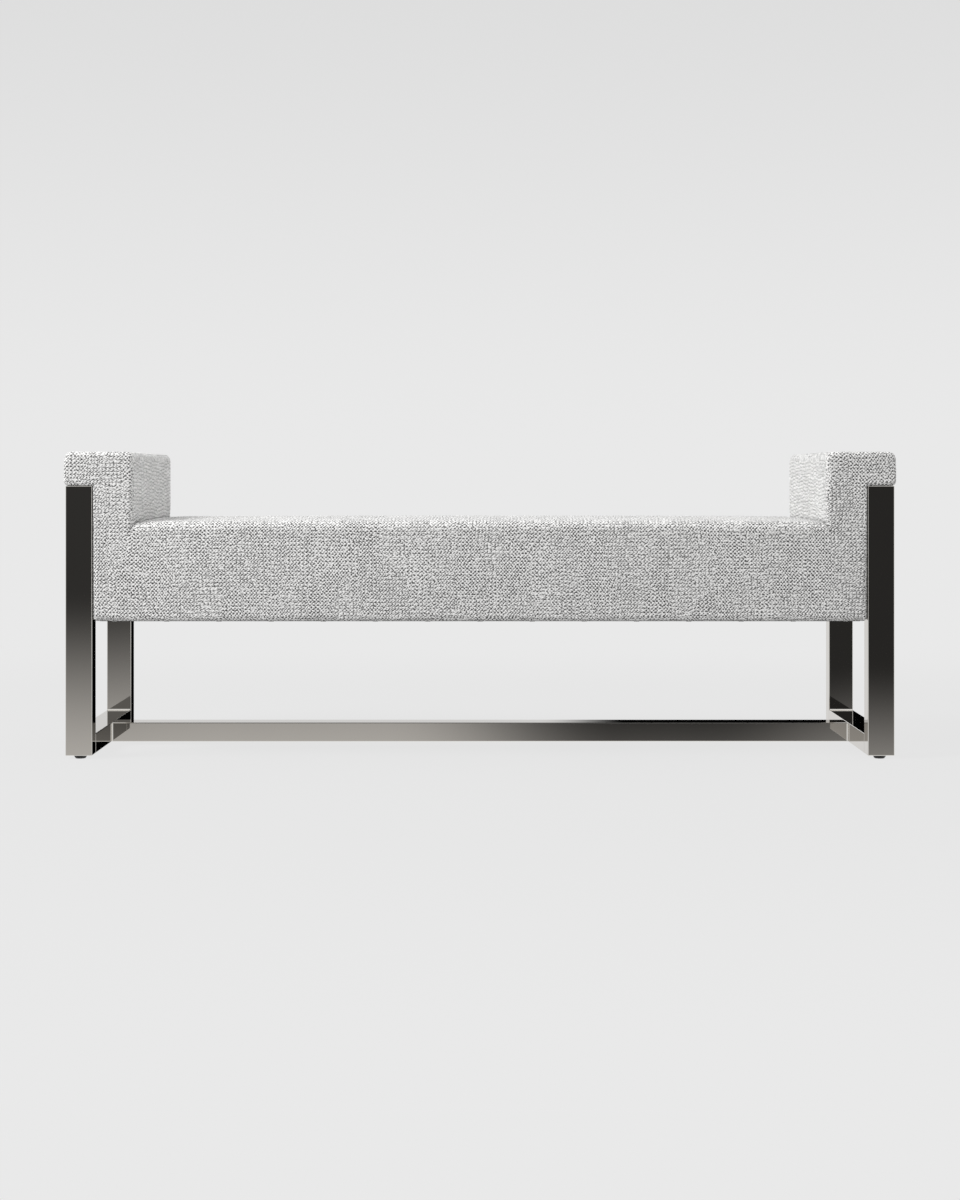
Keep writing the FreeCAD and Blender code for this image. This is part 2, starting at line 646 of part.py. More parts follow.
def make_staples():
    """Staples in rows along all four sides, through the dust cover and the cover into the wood."""
    half, square, leg = "staple_crown / 2", about("staple_wire / 2"), ("-staple_wire", "staple_leg")
    staple = fused("staple", block("staple_bridge", about(half), square, ("-staple_wire", "0")),
                   block("staple_near_leg", (f"-{half}", f"staple_wire - {half}"), square, leg),
                   block("staple_far_leg", (f"{half} - staple_wire", half), square, leg))
    along_count = int((size("panel_in") - size("staple_crown")) / size("staple_pitch"))
    across_count = int((size("wood_front") - size("staple_crown")) / size("staple_pitch"))
    upright = FreeCAD.Vector(0, 0, 1)
    spots = [(f"{step} * staple_pitch", f"{along} * (front - staple_margin)", "dust_low")
             for _, along in ENDS for step in range(-along_count, along_count + 1)]
    spots += [(f"{across} * (body_half - staple_margin)", f"{step} * staple_pitch", "dust_low", upright, 90)
              for _, across in SIDES for step in range(-across_count, across_count + 1)]
    node("dust_cover_staples", copies("dust_cover_staples", staple, spots))


def write_parts():
    """Checks every object and sub-part, then writes one file for each sub-part."""
    doc.recompute()
    failed = [made.Label for made in doc.Objects if {"Invalid", "Error"} & set(made.State)]
    failed += [made.Label for made in nodes
               if made.Shape.isNull() or not made.Shape.isValid() or not made.Shape.Solids]
    if failed:
        raise RuntimeError(f"failed objects: {failed}")
    os.makedirs("parts", exist_ok=True)
    for made in nodes:
        made.Shape.exportStep(f"parts/{made.Label}.step")
    print(f"{len(nodes)} sub-parts, {sum(len(made.Shape.Solids) for made in nodes)} solids")


fill_sheet("sizes", SIZES)
fill_sheet("places", PLACES)
outer_form = upholstery_form("outer_form", 0)
inner_form = upholstery_form("inner_form", size("cover_thick"))
make_frame()
make_welds()
make_glides()
make_carcass(inner_form)
make_arm_fixings()
make_springs()
make_padding(inner_form)
make_cover(outer_form, inner_form)
write_parts()
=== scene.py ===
"""Looks of an upholstered bench on a smoked mirror frame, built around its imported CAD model.

The woven cover is one closed surface carried along the bench from end to end. The cloths under the
seat are thin waved sheets. Frame, glides, springs, timber and fixings are the CAD model's own
nodes with procedural finishes. All lengths are metres, in the CAD model's frame.
"""
from collections import namedtuple

import bmesh
import bpy
import numpy as np
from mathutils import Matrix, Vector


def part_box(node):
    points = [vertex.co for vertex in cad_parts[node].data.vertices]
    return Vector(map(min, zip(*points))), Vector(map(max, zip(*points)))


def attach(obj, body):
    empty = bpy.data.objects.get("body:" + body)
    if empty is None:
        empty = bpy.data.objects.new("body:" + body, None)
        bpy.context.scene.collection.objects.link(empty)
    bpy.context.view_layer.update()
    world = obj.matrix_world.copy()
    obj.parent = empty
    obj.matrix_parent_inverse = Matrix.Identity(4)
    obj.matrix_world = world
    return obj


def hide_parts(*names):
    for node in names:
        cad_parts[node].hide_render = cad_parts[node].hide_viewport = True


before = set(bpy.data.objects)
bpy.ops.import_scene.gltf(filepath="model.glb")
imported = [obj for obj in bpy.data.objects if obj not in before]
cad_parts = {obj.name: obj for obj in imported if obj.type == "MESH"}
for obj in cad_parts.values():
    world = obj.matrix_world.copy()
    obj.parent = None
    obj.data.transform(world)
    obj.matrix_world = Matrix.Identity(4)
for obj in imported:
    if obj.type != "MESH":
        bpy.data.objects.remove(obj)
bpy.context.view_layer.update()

bl_info = {
    "name": "Upholstered Bench",
    "version": (1, 0, 0),
    "blender": (4, 5, 0),
    "location": "3D View > Sidebar > Bench",
    "description": "Dresses the CAD model of an upholstered bench and sets its studio",
    "category": "Add Mesh",
}

BODY = "bench"
PADS = ("seat_foam", "left_arm_pad", "right_arm_pad", "left_arm_top_pad", "right_arm_top_pad",
        "front_border_pad", "rear_border_pad", "left_side_pad", "right_side_pad")

# weave: counts in a metre along and across the rows, then what shifts and leans in loops and rows
PATCHES_IN_METRE = (22.0, 9.0, 0.0)
FIBRES_IN_METRE = (260.0, 320.0, 0.0)
SWAYS_IN_METRE = 12.0
SWAY_LOOPS = 3.5
PATCH_LOOPS = 7
PATCH_ROWS = 0.5
LEAN_LOOPS = 0.6
SLUB_LOOPS = 5

# relief of the weave: whole rows, columns, columns on level faces, single loops, thick yarn
ROW_RELIEF = 0.33
COLUMN_RELIEF = 0.06
LEVEL_COLUMN_RELIEF = 0.34
LOOP_RELIEF = 0.90
SLUB_RELIEF = 0.14

# tone of the weave from the painted shade deep between the loops to the yarn: middle, and what faces
# (painted light on level faces), loops (painted shade low between them), fibres and creases (painted
# shade) change
TONE = 0.83
# painted light: level faces are painted a little lighter
LEVEL_PAINTED_LIGHT = 0.06
LOOP_TONE_AND_PAINTED_SHADE = 2.0
FIBRE_TONE = 4.6
CREASE_PAINTED_SHADE = 0.55

# outline of the cover: roundings and places as multiples of other roundings
SOFT_SHARE = 0.45
GROOVE_ROLL_SHARE = 0.8
CLEAR_ROLLS = 3.2

# cloths under the seat: mesh steps, pressed points, and ripples in radians a metre along x and y
DUST_STEP = 0.012
FELT_STEP = 0.014
DUST_DOT = 0.0025
DUST_RIPPLE = (34.0, 3.0)
DUST_RIPPLE_SHARE = 0.15

# thickness of a plywood layer, and the distance within which points are one
PLY = 0.0015
MERGE = 1e-6

# studio: camera, what the even light gains towards the back and the right, backdrop, floor and lamp
SENSOR_MM = 36.0
BACK_LIGHT = 0.34
RIGHT_LIGHT = 0.16
HIGH_BACKDROP = 0.88
FLOOR_REACH = 30.0
FLOOR_MATT = 0.55
FLOOR_EVEN = 0.92
FLOOR_FADE = (0.9, 2.4)
LAMP_SIZE = 2.2
LAMP_PLACE = (-4.0, -1.8, 4.4)
LAMP_AIM = (0.0, 0.0, 0.45)


def highest(node, axis):
    """The highest place of a CAD node along an axis, 0 to 2."""
    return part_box(node)[1][axis]


# box of the cover, and its thickness over the pads
COVER_LOW, COVER_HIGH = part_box("cover")
CLOTH = COVER_HIGH.x - highest("right_arm_top_pad", 0)


def length(name, description, default):
    """A length property with the unit Blender shows it in."""
    return bpy.props.FloatProperty(name=name, description=description, default=default, min=0.0,
                                   precision=4, unit="LENGTH")


def share(name, description, default):
    """A property from nought to one."""
    return bpy.props.FloatProperty(name=name, description=description, default=default, min=0.0,
                                   max=1.0, subtype="FACTOR")


def colour(name, description, default):
    """A linear colour property without alpha."""
    return bpy.props.FloatVectorProperty(name=name, description=description, default=default,
                                         size=3, min=0.0, max=1.0, subtype="COLOR")


class BenchCover(bpy.types.PropertyGroup):
    """Sizes and colours of the woven cover."""
    seat_top: length("Seat height", "Top of the seat at its middle", highest("seat_foam", 2) + CLOTH)
    arm_inside: length("Arm inside", "From the middle to the inside of an arm",
                       highest("seat_foam", 0) - CLOTH)
    body_end: length("Body end", "From the middle to the body's end face",
                     highest("right_side_pad", 0) + CLOTH)
    overhang: length("Overhang height", "Underside of the arm where it covers the legs",
                     highest("front_right_leg", 2))
    seat_crown: length("Seat crown", "Fall of the seat from its middle to the arms", 0.0015)
    end_fall: length("End fall", "What the seat falls more close to an arm", 0.0045)
    end_reach: length("End reach", "How far from an arm that fall begins", 0.022)
    seat_bow: length("Seat bow", "Fall of the seat from its middle to the front and back", 0.0050)
    seat_roll: length("Seat roll", "Rounding along the seat's front and back edge", 0.018)
    crease_width: length("Crease width", "How far the seat rolls before it meets an arm", 0.009)
    crease_depth: length("Crease depth", "How deep the seat rolls down along an arm", 0.011)
    crease_blend: length("Crease blend", "Height over the seat where the arm's edge opens into the crease",
                         0.024)
    # painted shade along the crease: how far it reaches from the crease's bottom
    crease_shade_reach: length("Crease shade reach", "How far from the bottom of the crease it lies in the dark", 0.016)
    arm_edge: length("Arm edge", "Rounding of the arm's front and back edges", 0.0095)
    arm_corner: length("Arm corner", "Rounding of the arm's upper corners seen from the front", 0.015)
    under_edge: length("Under edge", "Rounding round the underside of the overhang", 0.004)
    low_edge: length("Low edge", "Rounding along the bottom of the body", 0.008)
    fold: length("Fold", "Rounding in the angle under the overhang", 0.002)
    swell: length("Swell", "How far the front and back swell below the seat", 0.0016)
    row: length("Row", "Height of one row of the weave", 0.0071)
    loop: length("Loop", "Length of one loop of the weave", 0.0066)
    block: length("Block", "Length of a block of shifted rows on the sides of the arms", 0.032)
    block_height: length("Block height", "Height of a block of shifted rows", 0.060)
    relief: length("Relief", "Height of the loops over the gaps", 0.0016)
    yarn: colour("Yarn", "Colour of the loops", (0.95, 0.945, 0.935))
    # painted shade: this dark colour deep between the loops stands for the shade there
    gap: colour("Gap", "Colour deep between the loops", (0.080, 0.080, 0.079))


class BenchCloths(bpy.types.PropertyGroup):
    """Sizes and colours of the cloths under the seat."""
    dust_sag: length("Dust cover sag", "How far the dust cover hangs at its middle", 0.003)
    dust_hem: length("Dust cover hem", "Edge of the dust cover that its staples hold flat", 0.020)
    felt_wave: length("Felt wave", "Dip of the felt between two springs", 0.0006)
    spring_pitch: length("Spring pitch", "From one spring under the felt to the next", 0.140)
    dust: colour("Dust cover", "Colour of the dust cover", (0.030, 0.030, 0.032))
    felt: colour("Felt", "Colour of the felt over the springs", (0.35, 0.34, 0.32))


class BenchHard(bpy.types.PropertyGroup):
    """Colours of the frame, the timber and the small parts."""
    mirror: colour("Mirror steel", "Smoked mirror finish of the frame", (0.475, 0.450, 0.415))
    # painted highlight: this lighter colour on the welds and on the rounded frame edges stands for the
    # highlight lines on them; the welds are real beads
    weld: colour("Welds", "Polished welds and worn edges of the frame", (0.80, 0.78, 0.74))
    mirror_blur: share("Mirror blur", "Roughness of the mirror finish", 0.03)
    zinc: colour("Plain steel", "Screws, bolts, plates and clips", (0.62, 0.62, 0.60))
    spring: colour("Spring steel", "Wire of the seat springs", (0.12, 0.12, 0.12))
    nylon: colour("Glide nylon", "Bases of the glides", (0.009, 0.009, 0.009))
    plug: colour("Plug plastic", "Plugs of the access holes", (0.045, 0.045, 0.045))
    beech: colour("Hardwood", "Rails, braces and blocks", (0.66, 0.50, 0.33))
    birch: colour("Plywood", "Panels and boards of the arms", (0.72, 0.58, 0.40))


class BenchStage(bpy.types.PropertyGroup):
    """Camera, floor and light."""
    distance: length("Distance", "Camera in front of the bench's middle", 4.106)
    eye: length("Eye height", "Camera over the floor", 0.536)
    lens: bpy.props.FloatProperty(name="Lens", description="Focal length in millimetres",
                                  default=60.95, min=1.0, subtype="NONE")
    fall: bpy.props.FloatProperty(name="Fall", description="Shift of the view below the eye line",
                                  default=-0.1017, min=-1.0, max=1.0, subtype="FACTOR")
    pale: colour("Background", "Floor and background as the camera sees them", (0.815, 0.815, 0.815))
    ambient: share("Ambient", "Even light from all round", 0.815)
    screen: share("Screen", "White screens as polished metal mirrors them", 0.95)
    front_floor: share("Front floor", "Floor in front as polished metal mirrors it", 0.86)
    back_floor: share("Back floor", "Floor behind as polished metal mirrors it", 0.82)
    left_wall: share("Left wall", "Left side as polished metal mirrors it", 0.68)
    right_wall: share("Right wall", "Right side as polished metal mirrors it", 0.82)
    key: bpy.props.FloatProperty(name="Key", description="Power of the large lamp on the left",
                                 default=272.0, min=0.0, unit="POWER")


class Signal:
    """A shader socket. Operators on it add Math nodes, and a plain number may stand on either side."""

    def __init__(self, finish, socket):
        self.finish = finish
        self.socket = socket

    def maths(self, operation, *values):
        """The result of one Math node."""
        return self.finish.node("ShaderNodeMath", {"operation": operation}, values)

    def __add__(self, other):
        return self.maths("ADD", self, other)

    def __radd__(self, other):
        return self.maths("ADD", other, self)

    def __sub__(self, other):
        return self.maths("SUBTRACT", self, other)

    def __rsub__(self, other):
        return self.maths("SUBTRACT", other, self)

    def __mul__(self, other):
        return self.maths("MULTIPLY", self, other)

    def __rmul__(self, other):
        return self.maths("MULTIPLY", other, self)

    def __truediv__(self, other):
        return self.maths("DIVIDE", self, other)

    def __rtruediv__(self, other):
        return self.maths("DIVIDE", other, self)

    def __pow__(self, other):
        return self.maths("POWER", self, other)

    def __rpow__(self, other):
        return self.maths("POWER", other, self)

    def wave(self):
        """Cosine with one turn for each whole number."""
        return self.maths("COSINE", self * (2 * np.pi))

    def part(self):
        """What is left over a whole number."""
        return self.maths("FRACT", self)

    def whole(self):
        """The whole number below."""
        return self.maths("FLOOR", self)

    def above(self, other):
        """The larger of the two."""
        return self.maths("MAXIMUM", self, other)

    def size(self):
        """The number without its sign."""
        return self.maths("ABSOLUTE", self)

    def step(self, low, high):
        """Smoothly from 0 at low to 1 at high."""
        return self.finish.node("ShaderNodeMapRange", {"interpolation_type": "SMOOTHSTEP"},
                                {"Value": self, "From Min": low, "From Max": high})

    def between(self, first, second):
        """From first where this is 0 to second where it is 1."""
        return first + (second - first) * self


class Finish:
    """A node tree under construction: a material's, or the world's."""

    def __init__(self, tree):
        self.tree = tree
        tree.nodes.clear()

    def node(self, kind, settings=(), inputs=(), output=0):
        """Adds a node: its settings first, then its sockets by order or name. Gives one output."""
        made = self.tree.nodes.new(kind)
        for name, value in dict(settings).items():
            setattr(made, name, value)
        pairs = inputs.items() if isinstance(inputs, dict) else enumerate(inputs)
        for key, value in pairs:
            if isinstance(value, Signal):
                self.tree.links.new(value.socket, made.inputs[key])
            else:
                made.inputs[key].default_value = value
        return Signal(self, made.outputs[output]) if made.outputs else None

    def blend(self, factor, first, second):
        """A colour from first at 0 to second at 1. Sockets 6 and 7 and output 2 are the colours'."""
        return self.node("ShaderNodeMix", {"data_type": "RGBA"}, {0: factor, 6: first, 7: second}, 2)

    def grey(self, level):
        """A colour with one number in all three channels."""
        return self.node("ShaderNodeCombineColor", (), (level, level, level))

    def place(self):
        """The surface's own place: the object's coordinates."""
        return self.node("ShaderNodeTexCoord", output=3)

    def facing(self):
        """The three numbers of the surface's normal, without their signs."""
        normal = self.node("ShaderNodeNewGeometry", output=1)
        return [number.size() for number in self.across(normal)]

    def across(self, vector):
        """The three numbers of a vector."""
        return [self.node("ShaderNodeSeparateXYZ", (), (vector,), axis) for axis in range(3)]

    def stretched(self, vector, scale):
        """A place stretched along the axes."""
        return self.node("ShaderNodeVectorMath", {"operation": "MULTIPLY"}, (vector, scale))

    def noise(self, vector, scale, detail=2.0, rough=0.5, output=0):
        """Soft noise from 0 to 1 as a number, or as a colour from output 1."""
        return self.node("ShaderNodeTexNoise", {"noise_dimensions": "3D"},
                         {"Vector": vector, "Scale": scale, "Detail": detail, "Roughness": rough},
                         output)

    def lot(self, *place):
        """A number from 0 to 1 drawn by lot for a whole-numbered place."""
        label = self.node("ShaderNodeCombineXYZ", (), place)
        return self.node("ShaderNodeTexWhiteNoise", {"noise_dimensions": "3D"}, (label,))

    def bump(self, height, distance, strength=1.0):
        """A normal tilted by a height field."""
        return self.node("ShaderNodeBump", (), {"Height": height, "Distance": distance,
                                                "Strength": strength})

    def surface(self, **sockets):
        """The material's shader, with underscores in socket names for spaces."""
        shader = self.node("ShaderNodeBsdfPrincipled", (),
                           {name.replace("_", " "): value for name, value in sockets.items()})
        self.output(shader)

    def output(self, shader):
        """Ends a material with its shader."""
        self.node("ShaderNodeOutputMaterial", (), {"Surface": shader})


def opaque(rgb, times=1.0):
    """A colour property as the four numbers of a colour socket, made lighter or darker."""
    return (*(min(1.0, channel * times) for channel in rgb), 1.0)


def new_finish(name):
    """An empty material and the builder for its nodes."""
    material = bpy.data.materials.new(name)
    material.use_nodes = True
    return material, Finish(material.node_tree)


def woven_cover(cover):
    """Chunky weave of loops in rows, on the cover's own UV map in metres.

    Patches of about 45 by 110 mm each shift the rows by up to half, lean the columns and calm the
    relief, and a slow noise sways both, as uneven yarn does. On the sides of the arms smaller
    blocks shift the rows once more, by lot, and stretches of thick yarn stand out. The relief is a
    cosine across the rows, one along them and their product, larger or smaller by lot for each
    loop. What lies low is painted dark, as painted shade between the loops, and a crease gets
    painted shade too; level faces are painted a little lighter, as painted light on tops. Fine
    fibre noise lies over all of it.
    """
    material, weave = new_finish("woven_cover")
    flat = weave.node("ShaderNodeUVMap", {"uv_map": "weave"})
    u, v, _ = weave.across(flat)
    patch = weave.node("ShaderNodeTexVoronoi", {"voronoi_dimensions": "2D", "feature": "F1"},
                       {"Vector": weave.stretched(flat, PATCHES_IN_METRE), "Scale": 1.0}, 1)
    shift, lean, calm = weave.across(patch)
    sway, lift, _ = weave.across(weave.noise(flat, SWAYS_IN_METRE, output=1))
    fibre = weave.noise(weave.stretched(flat, FIBRES_IN_METRE), 1.0, 1.0) - 0.5
    sideways, _, upward = weave.facing()
    side = sideways.step(0.70, 0.72)
    level = upward.step(0.50, 0.90)
    block = weave.lot((u / cover.block).whole(), (v / cover.block_height).whole())
    up = v / cover.row + (lift - 0.5) + PATCH_ROWS * shift + side * block
    along = u / cover.loop + SWAY_LOOPS * (sway - 0.5) + PATCH_LOOPS * shift
    rows = up.wave()
    strokes = (along + LEAN_LOOPS * lean * ((up + 0.5).part() - 0.5)).wave()
    lot = weave.lot((along + 0.5).whole(), (up + 0.5).whole())
    slub = weave.lot((along / SLUB_LOOPS).whole(), (up + 0.5).whole(), 1.0) - 0.2
    columns = COLUMN_RELIEF + LEVEL_COLUMN_RELIEF * level + LOOP_RELIEF * rows
    uneven = (0.4 + 1.2 * lot) * (1 - 0.4 * calm)
    loops = (ROW_RELIEF * rows + columns * strokes) * uneven
    loops = loops + SLUB_RELIEF * side * slub * (1 + rows)
    # painted light and shade in the colour: low loops are painted dark as painted shade between them, the
    # crease attribute adds painted crease shade, and level faces are painted a little lighter
    crease = weave.node("ShaderNodeAttribute", {"attribute_name": "crease"}, output=2)
    tone = TONE + LEVEL_PAINTED_LIGHT * level + LOOP_TONE_AND_PAINTED_SHADE * loops + FIBRE_TONE * fibre - CREASE_PAINTED_SHADE * crease
    paint = weave.blend(tone, opaque(cover.gap), opaque(cover.yarn))
    weave.surface(Base_Color=paint, Roughness=0.92, Sheen_Weight=0.25, Sheen_Roughness=0.5,
                  Normal=weave.bump(loops + fibre, cover.relief, 0.6))
    return material


def polished_steel(name, rgb, rough, highlight_rgb):
    """Polished steel. Its blur and tone vary a little, in wide soft wipe marks, and rounded edges, where
    the largest of the normal's three numbers is well below 1, get a lighter tone as a painted highlight."""
    material, steel = new_finish(name)
    place = steel.place()
    wipe = steel.noise(steel.stretched(place, (9.0, 9.0, 2.5)), 1.0, 3.0, 0.6)
    fine = steel.noise(steel.stretched(place, (160.0, 160.0, 14.0)), 1.0, 2.0, 0.6)
    x, y, z = steel.facing()
    # painted highlight: rounded edges get the lighter edge colour
    highlit = 1 - x.above(y).above(z).step(0.90, 0.99)
    tint = steel.blend(wipe, opaque(rgb, 0.975), opaque(rgb, 1.025))
    tint = steel.blend(highlit, tint, opaque(highlight_rgb))
    steel.surface(Base_Color=tint, Metallic=1.0, Roughness=rough * (0.6 + 0.6 * wipe + 0.2 * fine))
    return material


def plain_metal(name, rgb, metallic, rough):
    """Plated or oiled steel: cloudy tone and fine draw marks in the roughness."""
    material, metal = new_finish(name)
    place = metal.place()
    cloud = metal.noise(place, 180.0, 3.0, 0.6)
    marks = metal.noise(metal.stretched(place, (900.0, 900.0, 120.0)), 1.0, 2.0)
    metal.surface(Base_Color=metal.blend(cloud, opaque(rgb, 0.78), opaque(rgb, 1.12)),
                  Metallic=metallic, Roughness=rough * (0.75 + 0.5 * marks),
                  Normal=metal.bump(marks, 0.0001, 0.25))
    return material


def moulded(name, rgb, rough):
    """Moulded plastic: fine grain in the surface and a faint cloud in the colour."""
    material, plastic = new_finish(name)
    place = plastic.place()
    grain = plastic.noise(place, 1400.0, 2.0, 0.6)
    cloud = plastic.noise(place, 60.0, 2.0)
    plastic.surface(Base_Color=plastic.blend(cloud, opaque(rgb, 0.8), opaque(rgb, 1.3)),
                    Roughness=rough + 0.16 * (grain - 0.5), Normal=plastic.bump(grain, 0.0002, 0.4))
    return material


def timber(name, rgb, along, ply=0.0, stack=0):
    """Wood whose grain runs along one axis. A glued board has layers of thickness ply, stacked along the
    axis stack, dark and light by turns."""
    material, wood = new_finish(name)
    place = wood.place()
    scale = [46.0, 46.0, 46.0]
    scale[along] = 2.2
    figure = wood.noise(wood.stretched(place, tuple(scale)), 1.0, 4.0, 0.6)
    rings = (figure * 9.0).part()
    pores = wood.noise(wood.stretched(place, tuple(9.0 * number for number in scale)), 1.0, 2.0)
    tone = rings.step(0.0, 0.9) * 0.55 + pores * 0.45
    if ply:
        layer = (wood.across(place)[stack] / (2 * ply)).part().step(0.42, 0.58)
        tone = tone * 0.7 + layer * 0.3
    wood.surface(Base_Color=wood.blend(tone, opaque(rgb, 0.62), opaque(rgb, 1.12)),
                 Roughness=0.62 + 0.2 * (pores - 0.5), Normal=wood.bump(pores, 0.0004, 0.4))
    return material


def fibre_cloth(name, rgb, dot=0.0):
    """Matted fibres. dot is the spacing of the pressed points of a spun cloth, where it has them."""
    material, cloth = new_finish(name)
    place = cloth.place()
    strands = cloth.noise(cloth.stretched(place, (260.0, 900.0, 900.0)), 1.0, 4.0, 0.65)
    clumps = cloth.noise(place, 70.0, 3.0)
    relief = strands
    if dot:
        x, y, _ = cloth.across(place)
        across = (x / dot).part() - 0.5
        along = (y / dot).part() - 0.5
        relief = strands * 0.5 + (across * across + along * along).step(0.02, 0.10)
    tone = strands * 0.6 + clumps * 0.4
    cloth.surface(Base_Color=cloth.blend(tone, opaque(rgb, 0.6), opaque(rgb, 1.5)), Roughness=0.95,
                  Normal=cloth.bump(relief, 0.0005, 0.7))
    return material


Span = namedtuple("Span", "steps upper lower upper_in lower_in upper_round lower_round upright")


def straight(start, end):
    """A run from start to end: start plus t times the way between."""
    start, end = np.array(start), np.array(end)
    return lambda t: start + t[:, None] * (end - start)


def turned(start, corner, end):
    """A quarter of an ellipse from start to end, touching the lines that meet in the corner."""
    start, corner, end = np.array(start), np.array(corner), np.array(end)
    middle = start + end - corner

    def run(t):
        angle = t[:, None] * np.pi / 2
        return middle + (start - middle) * np.cos(angle) + (end - middle) * np.sin(angle)
    return run


def seat_height(cover, x):
    """The seat's top at x: crown times (x / half the seat) squared below its middle, and close to an
    arm lower still, by a fall that dies away exponentially."""
    whole = cover.arm_inside
    near_arm = np.exp((x - whole) / cover.end_reach)
    return cover.seat_top - cover.seat_crown * (x / whole) ** 2 - cover.end_fall * near_arm


def seat_line(cover, end):
    """The seat's top from the middle to x = end, with its stations closer together near the end:
    x is end times (1 - (1 - t) to the power 1.25)."""
    def run(t):
        x = end * (1 - (1 - t) ** 1.25)
        return np.stack([x, seat_height(cover, x)], axis=1)
    return run


def crease_bottom(cover):
    """Where the seat meets an arm, seen from the front: the foot of the seat's roll."""
    brink = cover.arm_inside - cover.crease_width
    return cover.arm_inside, seat_height(cover, brink) - cover.crease_depth


def body_spans(cover):
    """The bench seen from the front, from its middle to its right end, in ten spans.

    Each span has a count of steps, a run along the upper outline and one along the lower, for
    each of them the inward direction and the edge rounding at both ends, and whether the weave's
    rows stand upright there, because the face is a side of an arm.
    """
    low, top, end = COVER_LOW.z, COVER_HIGH.z, COVER_HIGH.x
    inside, body, under = cover.arm_inside, cover.body_end, cover.overhang
    corner, foot, lip, fold = cover.arm_corner, cover.low_edge, cover.under_edge, cover.fold
    edge, roll = cover.arm_edge, cover.seat_roll
    soft = SOFT_SHARE * (lip + edge)
    brink = inside - cover.crease_width
    seat_end = seat_height(cover, brink)
    groove = crease_bottom(cover)[1]
    groove_roll = GROOVE_ROLL_SHARE * roll
    clear = seat_end + cover.crease_blend
    below_groove = inside + groove_roll
    below_clear = inside + CLEAR_ROLLS * roll
    middle = (top + under) / 2
    down, up, inward, outward = (0.0, -1.0), (0.0, 1.0), (-1.0, 0.0), (1.0, 0.0)
    slanted = (0.7, -0.7)
    return (
        # seat
        Span(92, seat_line(cover, brink), straight((0, low), (brink, low)),
             (down, down), (up, up), (roll, roll), (foot, foot), (0, 0)),
        # roll of the seat into the crease, and the arm's edge out of it
        Span(9, turned((brink, seat_end), (inside, seat_end), (inside, groove)),
             straight((brink, low), (below_groove, low)),
             (down, slanted), (up, up), (roll, groove_roll), (foot, foot), (0, 0)),
        Span(12, straight((inside, groove), (inside, clear)),
             straight((below_groove, low), (below_clear, low)),
             (slanted, outward), (up, up), (groove_roll, edge), (foot, foot), (1, 0)),
        # inside of the arm and its upper corner
        Span(12, straight((inside, clear), (inside, top - corner)),
             straight((below_clear, low), (body - foot, low)),
             (outward, outward), (up, up), (edge, edge), (foot, foot), (1, 0)),
        Span(8, turned((inside, top - corner), (inside, top), (inside + corner, top)),
             turned((body - foot, low), (body, low), (body, low + foot)),
             (outward, down), (up, inward), (edge, edge), (foot, foot), (0, 1)),
        # top of the arm over the body's end face and the fold under the overhang
        Span(34, straight((inside + corner, top), (body - fold, top)),
             straight((body, low + foot), (body, under - fold)),
             (down, down), (inward, inward), (edge, edge), (foot, lip), (0, 1)),
        Span(5, straight((body - fold, top), (body + fold, top)),
             turned((body, under - fold), (body, under), (body + fold, under)),
             (down, down), (inward, up), (edge, edge), (lip, lip), (0, 0)),
        # overhang and its outer end
        Span(7, straight((body + fold, top), (end - corner, top)),
             straight((body + fold, under), (end - edge, under)),
             (down, down), (up, up), (edge, edge), (lip, soft), (0, 0)),
        Span(8, turned((end - corner, top), (end, top), (end, top - corner)),
             turned((end - edge, under), (end, under), (end, under + edge)),
             (down, inward), (up, inward), (edge, edge), (soft, soft), (0, 0)),
        Span(5, straight((end, top - corner), (end, middle)),
             straight((end, under + edge), (end, middle)),
             (inward, inward), (inward, inward), (edge, soft), (soft, soft), (1, 1)),
    )


def painted_crease_shade(cover, line, ring, marks):
    """Painted shade in a crease: for every point of the rings, 1 deep in a crease and 0 outside, a smooth
    step of its station's distance from the crease's bottom, from the reach down to half of it, on the
    upper outline alone. The reach narrows to a third at the front and back."""
    x, z = crease_bottom(cover)
    away = np.hypot(np.abs(line["top"][:, :1]) - x, line["top"][:, 1:] - z)
    within = np.clip((COVER_HIGH.y - np.abs(ring[:, :, 1])) / cover.seat_roll, 0, 1)
    near = np.clip(2 - 2 * away / (cover.crease_shade_reach * (1 + 2 * within) / 3), 0, 1)
    near[:, marks[0]:] = 0
    return near * near * (3 - 2 * near)


def eased(pair, t):
    """A number from the first to the second of a pair along t."""
    return pair[0] + (pair[1] - pair[0]) * t


def swung(pair, t):
    """A direction turning from the first to the second of a pair along t, of length one."""
    angle = t[:, None] * np.pi / 2
    way = np.array(pair[0]) * np.cos(angle) + np.array(pair[1]) * np.sin(angle)
    return way / np.linalg.norm(way, axis=1, keepdims=True)


def stations(cover):
    """The spans sampled from end to end of the bench: the right half and its mirror image.

    Gives for the upper and the lower outline the points, inward directions and roundings, and for
    each step between two stations whether the rows stand upright.
    """
    rows = {name: [] for name in ("top", "low", "top_in", "low_in", "top_r", "low_r", "sides")}
    spans = body_spans(cover)
    for span in spans:
        t = np.arange(span.steps + (span is spans[-1])) / span.steps
        rows["top"].append(span.upper(t))
        rows["low"].append(span.lower(t))
        rows["top_in"].append(swung(span.upper_in, t))
        rows["low_in"].append(swung(span.lower_in, t))
        rows["top_r"].append(eased(span.upper_round, t))
        rows["low_r"].append(eased(span.lower_round, t))
        rows["sides"].append(np.tile(np.array(span.upright, float), (span.steps, 1)))
    half = {name: np.concatenate(parts) for name, parts in rows.items()}
    flip = np.array([-1.0, 1.0])
    whole = {}
    for name in ("top", "low", "top_in", "low_in"):
        whole[name] = np.concatenate([half[name][:0:-1] * flip, half[name]])
    for name in ("top_r", "low_r"):
        whole[name] = np.concatenate([half[name][:0:-1], half[name]])
    whole["sides"] = np.concatenate([half["sides"][::-1], half["sides"]])
    return whole


